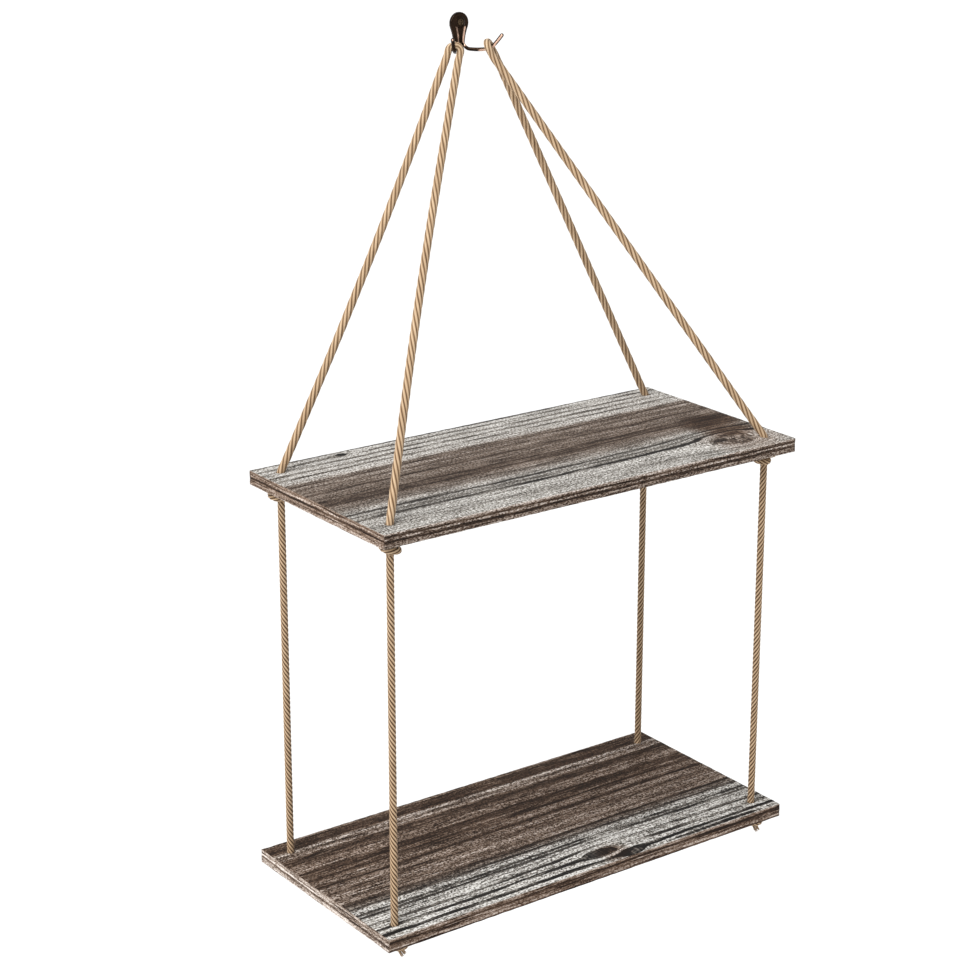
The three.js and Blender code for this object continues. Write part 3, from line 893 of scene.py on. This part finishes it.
# Tones run from 0, charred, to 1, limed white. Depths are in millimetres from the back edge.
# A line is (depth, strength, half width), a knot (x, depth, radius, stretch, tone),
# and a stain (x, depth, radius, change of tone, warmth).
UPPER_LOOK = {
    "bands": [
        (0, 0.62), (7, 0.80), (17, 0.74), (27, 0.78), (37, 0.74), (47, 0.72), (52, 0.66),
        (56, 0.48), (62, 0.28), (67, 0.46), (72, 0.26), (77, 0.40), (82, 0.30), (87, 0.26),
        (92, 0.38), (98, 0.33), (104, 0.30), (110, 0.22), (118, 0.22), (123, 0.36), (130, 0.32),
        (135, 0.42), (139, 0.58), (146, 0.48), (151, 0.56), (158, 0.50), (164, 0.60), (171, 0.70),
        (177, 0.62), (182, 0.56), (190, 0.60), (200, 0.66),
    ],
    "lines": [
        (2, 0.6, 3.4), (12, 0.4, 2.8), (22, 0.4, 2.8), (32, 0.42, 2.8), (42, 0.4, 2.4),
        (57, 0.14, 1.6), (62, 0.1, 2), (87, 0.14, 2), (108, 0.18, 2), (116, 0.16, 2),
        (147, 0.38, 2.4), (154, 0.26, 2), (161.5, 0.55, 2.9), (182, 0.1, 2),
    ],
    "warmth": [(0, 0.0), (50, 0.1), (58, 0.6), (120, 0.65), (135, 0.3), (145, 0), (200, 0)],
    "front_edge": [
        (0, 0.78), (0.8, 0.68), (1.5, 0.52), (2.4, 0.30), (3.5, 0.06), (4.4, 0.40), (5.4, 0.62),
        (6.2, 0.20), (7.5, 0.02), (8.5, 0.34), (9.6, 0.42), (11, 0.44), (12.5, 0.44),
    ],
    "end_edge": [
        (0, 0.54), (1, 0.36), (2.4, 0.34), (3.4, 0.62), (4.4, 0.42), (5.4, 0.06), (6.2, 0.14),
        (7.3, 0.48), (8.4, 0.38), (9.6, 0.46), (11, 0.60), (12.5, 0.70),
    ],
    "edge_warmth": 0.8,
    "end_warmth": 1.0,
    "knots": [(-131, 9, 3.5, 1.6, 0.2), (168, 171, 15, 1.5, 0.44), (158, 167, 4.5, 1.9, 0.08)],
    "stains": [(188, 132, 42, -0.26, 0.6), (180, 172, 52, -0.06, 0.6)],
    "speckle": 0.33,
    "edge_speckle": 1.0,
    "hairs": 0.34,
    "seed": 3.1,
}
LOWER_LOOK = {
    "bands": [
        (0, 0.36), (7, 0.16), (17, 0.04), (20, 0.18), (23, 0.68), (27, 0.26), (32, 0.46),
        (36, 0.10), (42, 0.06), (48, 0.28), (58, 0.36), (62, 0.14), (67, 0.10), (72, 0.24),
        (76, 0.12), (85, 0.38), (92, 0.12), (98, 0.40), (108, 0.22), (115, 0.44), (122, 0.24),
        (127, 0.38), (132, 0.16), (142, 0.42), (147, 0.64), (154, 0.50), (160, 0.70), (167, 0.80),
        (176, 0.78), (187, 0.84), (200, 0.78),
    ],
    "lines": [
        (62, 0.12, 2), (67, 0.1, 2), (77, 0.15, 1.8), (92, 0.2, 2.2), (104, 0.1, 1.6),
        (132, 0.2, 2.2), (141, 0.3, 2.2), (152, 0.42, 2.4), (157, 0.5, 2.4), (163, 0.3, 1.5),
        (172, 0.65, 2.8), (177, 0.2, 1.2), (182, 0.85, 3), (187, 0.2, 1), (192, 1.0, 3.1),
    ],
    "warmth": [(0, 0.9), (18, 1.0), (22, 0.7), (35, 0.9), (60, 0.95), (128, 0.85), (146, 0), (200, 0)],
    "front_edge": [
        (0, 0.72), (0.9, 0.54), (1.8, 0.44), (2.8, 0.42), (3.5, 0.06), (4.6, 0), (5.4, 0.36),
        (6.6, 0.40), (7.6, 0.33), (8.6, 0.40), (9.6, 0.62), (10.6, 0.36), (11.6, 0.10), (12.5, 0.10),
    ],
    "end_edge": [
        (0, 0.28), (0.8, 0.46), (1.6, 0.62), (2.8, 0.46), (3.6, 0.44), (4.6, 0.82), (5.4, 0.90),
        (6.2, 0.42), (7.4, 0.22), (8.4, 0.52), (9.6, 0.70), (11, 0.64), (12.5, 0.66),
    ],
    "edge_warmth": 1.0,
    "end_warmth": 0.8,
    "knots": [(22, 180, 6.5, 2.6, 0.05), (46, 194, 5, 2.4, 0.02), (150, 197, 2.4, 26, 0.1)],
    "stains": [(32, 186, 22, -0.2, 0.7)],
    "speckle": 0.4,
    "edge_speckle": 0.6,
    "hairs": 0.42,
    "seed": 8.7,
}
COOL_PALETTE = [
    (0.0, srgb(26, 24, 23)), (0.2, srgb(68, 63, 59)), (0.4, srgb(110, 104, 97)),
    (0.6, srgb(150, 146, 139)), (0.8, srgb(188, 184, 178)), (1.0, srgb(232, 230, 226)),
]
WARM_PALETTE = [
    (0.0, srgb(32, 20, 12)), (0.2, srgb(74, 55, 42)), (0.4, srgb(116, 96, 81)),
    (0.6, srgb(156, 138, 125)), (0.8, srgb(194, 179, 168)), (1.0, srgb(232, 220, 211)),
]
BAND_START = -40
BAND_SPAN = 280


def flow_round_knots(r, look, x, depth, flow, wobble):
    """Parts the flow of the grain round each knot, and gives the knots' own tone and reach."""
    ring_tone, ring_mask = 0.0, 0.0
    for knot_x, knot_depth, radius, stretch, tone in look["knots"]:
        aside = r.math("DIVIDE", r.math("SUBTRACT", x, knot_x), stretch)
        aside = r.plus(aside, radius * KNOT_WOBBLE_SHARES[0], wobble)
        across = r.math("SUBTRACT", depth, knot_depth)
        across = r.plus(across, radius * KNOT_WOBBLE_SHARES[1], wobble)
        square = r.math("ADD", r.math("MULTIPLY", aside, aside), r.math("MULTIPLY", across, across))
        pull = r.math("DIVIDE", radius * radius, r.math("MAXIMUM", square, radius * radius))
        flow = r.math("SUBTRACT", flow, r.math("MULTIPLY", across, pull))
        away = r.math("DIVIDE", r.math("SQRT", square), radius)
        inside = r.spread(away, *KNOT_EDGE_SHARES, 1.0, 0.0)
        rings = r.math("SINE", r.math("MULTIPLY", r.plus(away, RING_WOBBLE, wobble), RING_RATE))
        rings = r.math("MULTIPLY_ADD", rings, RING_TONE, tone)
        ring_tone = r.blend_values(inside, ring_tone, rings)
        ring_mask = r.math("MAXIMUM", ring_mask, inside)
    return flow, ring_tone, ring_mask


def dark_lines(r, lines, flow):
    """How dark the strongest of the drawn lines is at each place."""
    darkest = 0.0
    for depth, strength, half_width in lines:
        away = r.math("ABSOLUTE", r.math("SUBTRACT", flow, depth))
        core, end = half_width * LINE_CORE_SHARE, half_width * LINE_END_SHARE
        mark = r.spread(away, core, end, strength, 0.0)
        darkest = r.math("MAXIMUM", darkest, mark)
    return darkest


def banded(r, value, stops, start, span):
    share = r.math("DIVIDE", r.math("SUBTRACT", value, start), span)
    return r.ramp(share, [((place - start) / span, tone) for place, tone in stops])


def wood_material(name, top, look):
    """Brushed wood with lime rubbed into it: bands and dark lines that flow round the knots."""
    r = Recipe(name)
    x, y, z = r.millimetres()
    depth = r.math("SUBTRACT", BOARD_MIDDLE_Y + BOARD_DEPTH / 2, y)
    down = r.math("SUBTRACT", top, z)
    seed = look["seed"]
    normal = r.add("SeparateXYZ", {0: r.add("TexCoord", output="Normal")}).node
    on_face = r.spread(r.math("ABSOLUTE", normal.outputs[2]), 0.45, 0.8)
    on_end = r.spread(r.math("ABSOLUTE", normal.outputs[0]), 0.45, 0.8)

    long_wave = r.swing(x, depth, down, LONG_WAVE_SIZES, detail=1, seed=seed)
    short_wave = r.swing(x, depth, down, SHORT_WAVE_SIZES, detail=2, seed=seed + 1)
    flow = r.plus(r.plus(depth, FACE_SHIFTS[0], long_wave), FACE_SHIFTS[1], short_wave)
    flow, ring_tone, ring_mask = flow_round_knots(r, look, x, depth, flow, short_wave)
    level = r.plus(r.plus(down, EDGE_SHIFTS[0], long_wave), EDGE_SHIFTS[1], short_wave)
    along = r.blend_values(on_end, x, depth)
    across = r.blend_values(on_face, down, flow)
    ragged = r.swing(along, across, down, RAGGED_SIZES, detail=3, rough=0.65, seed=seed + 8)

    broken = r.spread(r.noise(x, flow, down, BREAK_SIZES, seed=seed + 2), 0.4, 0.55, 0.4, 1.0)
    lines = dark_lines(r, look["lines"], r.plus(flow, RAGGED_LINE_SHIFT, ragged))
    lines = r.math("MULTIPLY", lines, broken)
    face = banded(r, r.plus(flow, RAGGED_BAND_SHIFT, ragged), look["bands"], BAND_START, BAND_SPAN)
    face = r.blend_values(ring_mask, r.math("SUBTRACT", face, lines), ring_tone)
    ragged_level = r.plus(level, RAGGED_EDGE_SHIFT, ragged)
    front = banded(r, ragged_level, look["front_edge"], 0, BOARD_THICKNESS)
    end = banded(r, ragged_level, look["end_edge"], 0, BOARD_THICKNESS)
    base = r.blend_values(on_face, r.blend_values(on_end, front, end), face)
    warmth = banded(r, flow, look["warmth"], BAND_START, BAND_SPAN)
    for stain_x, stain_depth, radius, stain_tone, stain_warmth in look["stains"]:
        away = r.join(r.math("SUBTRACT", x, stain_x), r.math("SUBTRACT", depth, stain_depth), 0.0)
        away = r.add("VectorMath", {0: away}, output="Value", operation="LENGTH")
        away = r.plus(away, STAIN_SHIFT, short_wave)
        stained = r.spread(away, STAIN_CORE_SHARE * radius, radius, 1.0, 0.0)
        base = r.plus(base, stain_tone, r.math("MULTIPLY", stained, on_face))
        warmth = r.plus(warmth, stain_warmth, stained)

    streaks = r.swing(along, across, down, STREAK_SIZES, detail=3, rough=0.6, seed=seed + 3)
    hairs = r.noise(along, across, down, HAIR_SIZES, detail=3, rough=0.65, seed=seed + 4)
    pale_hairs = r.noise(along, across, down, PALE_HAIR_SIZES, detail=3, rough=0.65, seed=seed + 5)
    specks = r.noise(along, across, down, SPECK_SIZES, detail=2, rough=0.6, seed=seed + 6)
    patches = r.swing(x, depth, down, WOOD_PATCH_SIZES, detail=3, seed=seed + 7)
    tone = r.plus(r.plus(base, STREAK_TONE, streaks), PATCH_TONE, patches)
    tone = r.plus(tone, -look["hairs"], r.spread(hairs, 0.53, 0.6))
    tone = r.plus(tone, look["hairs"] * PALE_HAIR_SHARE, r.spread(pale_hairs, 0.53, 0.6))
    lively = r.spread(base, 0.05, 0.6, 0.35, 1.0)
    side_speckle = r.blend_values(on_end, look["edge_speckle"], END_SPECKLE_SHARE)
    lively = r.math("MULTIPLY", lively, r.blend_values(on_face, side_speckle, 1.0))
    dots = r.math("SUBTRACT", r.spread(specks, 0.52, 0.57), r.spread(specks, 0.48, 0.43))
    tone = r.plus(tone, look["speckle"], r.math("MULTIPLY", dots, lively))

    side_warmth = r.blend_values(on_end, look["edge_warmth"], look["end_warmth"])
    warmth = r.blend_values(on_face, side_warmth, warmth)
    colour = r.mix(warmth, r.ramp(tone, COOL_PALETTE), r.ramp(tone, WARM_PALETTE))
    r.feed(r.shader.inputs["Base Color"], colour)
    r.feed(r.shader.inputs["Roughness"], r.spread(tone, 0.0, 1.0, 0.62, 0.88))
    r.shader.inputs["Specular IOR Level"].default_value = 0.12
    r.feed(r.shader.inputs["Normal"], r.bump(tone, RELIEF_HEIGHT, 0.6))
    return r.material


# Rope

THREAD_RELIEF = 0.25
# Sizes of the rope's noises along it and in the two directions across it
THREAD_SIZES = (9, 0.3, 0.3)
YARN_SIZES = (24, 0.9, 0.9)
ROPE_PATCH_SIZES = (12, 4, 4)
CREST_TONE = 0.82
GROOVE_PAINTED_SHADE = -0.98


def rope_material(name):
    """Tan fibre with fine threads along each strand, and painted shade that darkens the grooves
    between the strands.
    """
    r = Recipe(name)
    lay = r.add("Attribute", output="Vector", attribute_name="lay")
    groove = r.add("Attribute", output="Fac", attribute_name="groove")
    parts = r.add("SeparateXYZ", {0: lay}).node
    along, aside, across = parts.outputs[0], parts.outputs[1], parts.outputs[2]
    threads = r.swing(along, aside, across, THREAD_SIZES, detail=3, rough=0.6)
    yarns = r.swing(along, aside, across, YARN_SIZES, detail=2)
    patches = r.swing(along, aside, across, ROPE_PATCH_SIZES, detail=2, seed=4.0)
    # Painted shade: the tone falls from the crests towards the bottom of each groove; a frayed end's
    # fibres are darkened by a random share the same way.
    tone = r.plus(CREST_TONE, GROOVE_PAINTED_SHADE, groove)
    tone = r.plus(r.plus(tone, STREAK_TONE, threads), STREAK_TONE, yarns)
    tone = r.plus(tone, PATCH_TONE, patches)
    colour = r.ramp(tone, [
        (0.0, srgb(46, 29, 16)), (0.25, srgb(98, 72, 46)), (0.5, srgb(149, 121, 91)),
        (0.75, srgb(187, 160, 129)), (1.0, srgb(213, 189, 158)),
    ])
    r.feed(r.shader.inputs["Base Color"], colour)
    r.shader.inputs["Roughness"].default_value = 0.82
    r.shader.inputs["Specular IOR Level"].default_value = 0.3
    r.shader.inputs["Sheen Weight"].default_value = 0.1
    relief = r.plus(r.math("MULTIPLY", threads, 0.1), 0.1, yarns)
    r.feed(r.shader.inputs["Normal"], r.bump(relief, THREAD_RELIEF, 0.8))
    return r.material


# Metal

PIT_DEPTH = 0.05
PIT_SIZES = (0.6, 0.6, 0.6)
CLOUD_SIZES = (4, 4, 4)
WEAR_AND_HIGHLIGHT_PATCHINESS = 0.6
WEAR_AND_HIGHLIGHT_RANGE = (0.35, 0.85)
HOOK_BRONZE = (srgb(17, 11, 7), srgb(56, 40, 27))
SCREW_BRONZE = (srgb(52, 41, 30), srgb(98, 82, 62))
# Copper shown on worn edges and as painted highlights
COPPER_WEAR_AND_HIGHLIGHT = srgb(226, 188, 165)


def bronze_material(name, low, high, rub=True):
    """Dark bronze between two colours, with copper where the rub values mark edge wear and painted
    highlights.
    """
    r = Recipe(name)
    x, y, z = r.millimetres()
    clouds = r.noise(x, y, z, CLOUD_SIZES, detail=3)
    pits = r.noise(x, y, z, PIT_SIZES, detail=2, seed=2.0)
    dark = r.mix(clouds, low, high)
    if rub:
        # Copper for worn edges and for painted highlights, broken up by the clouds.
        stands = r.add("Attribute", output="Fac", attribute_name="rub")
        patchy = r.plus(stands, WEAR_AND_HIGHLIGHT_PATCHINESS, r.math("SUBTRACT", clouds, 0.5))
        copper_share = r.spread(patchy, *WEAR_AND_HIGHLIGHT_RANGE)
        colour = r.mix(copper_share, dark, COPPER_WEAR_AND_HIGHLIGHT)
    else:
        colour = dark
    r.feed(r.shader.inputs["Base Color"], colour)
    r.shader.inputs["Metallic"].default_value = 0.9
    r.feed(r.shader.inputs["Roughness"], r.spread(clouds, 0.3, 0.7, 0.2, 0.36))
    r.feed(r.shader.inputs["Normal"], r.bump(pits, PIT_DEPTH, 0.5))
    return r.material


# Studio

def add_light(name, kind, place, power):
    """A light at a place in metres, turned towards the middle of the shelf."""
    data = bpy.data.lights.new(name, kind)
    data.energy = power
    light = bpy.data.objects.new(name, data)
    light.location = place
    way = Vector(STUDIO_TARGET) - Vector(place)
    light.rotation_euler = way.to_track_quat("-Z", "Y").to_euler()
    bpy.context.scene.collection.objects.link(light)
    return data


def make_studio():
    sky = add_light("sky_panel", "SUN", SKY_PANEL_PLACE, SKY_PANEL_POWER)
    sky.angle = math.radians(SKY_PANEL_ANGLE)
    key = add_light("key", "AREA", KEY_PLACE, KEY_POWER)
    key.shape = "DISK"
    key.size = KEY_SIZE
    world = bpy.data.worlds.new("studio")
    world.use_nodes = True
    background = world.node_tree.nodes["Background"]
    background.inputs["Color"].default_value = (1, 1, 1, 1)
    background.inputs["Strength"].default_value = ROOM_LIGHT
    bpy.context.scene.world = world
    bpy.context.scene.view_settings.view_transform = "Standard"
    make_floor()


def make_floor():
    half, level = FLOOR_HALF, FLOOR_LEVEL
    corners = [(-half, -half, level), (half, -half, level), (half, half, level), (-half, half, level)]
    floor = mesh_object("floor", corners, [(0, 1, 2, 3)])
    r = Recipe("pale_floor")
    r.shader.inputs["Base Color"].default_value = (FLOOR_TONE, FLOOR_TONE, FLOOR_TONE, 1)
    r.shader.inputs["Roughness"].default_value = 0.9
    floor.data.materials.append(r.material)


place_camera()
make_ropes(rope_material("rope"))
make_boards()
make_hook()
screw_finish = bronze_material("screw_bronze", *SCREW_BRONZE, rub=False)
dress_screws(screw_finish)
make_threads(screw_finish)
make_studio()
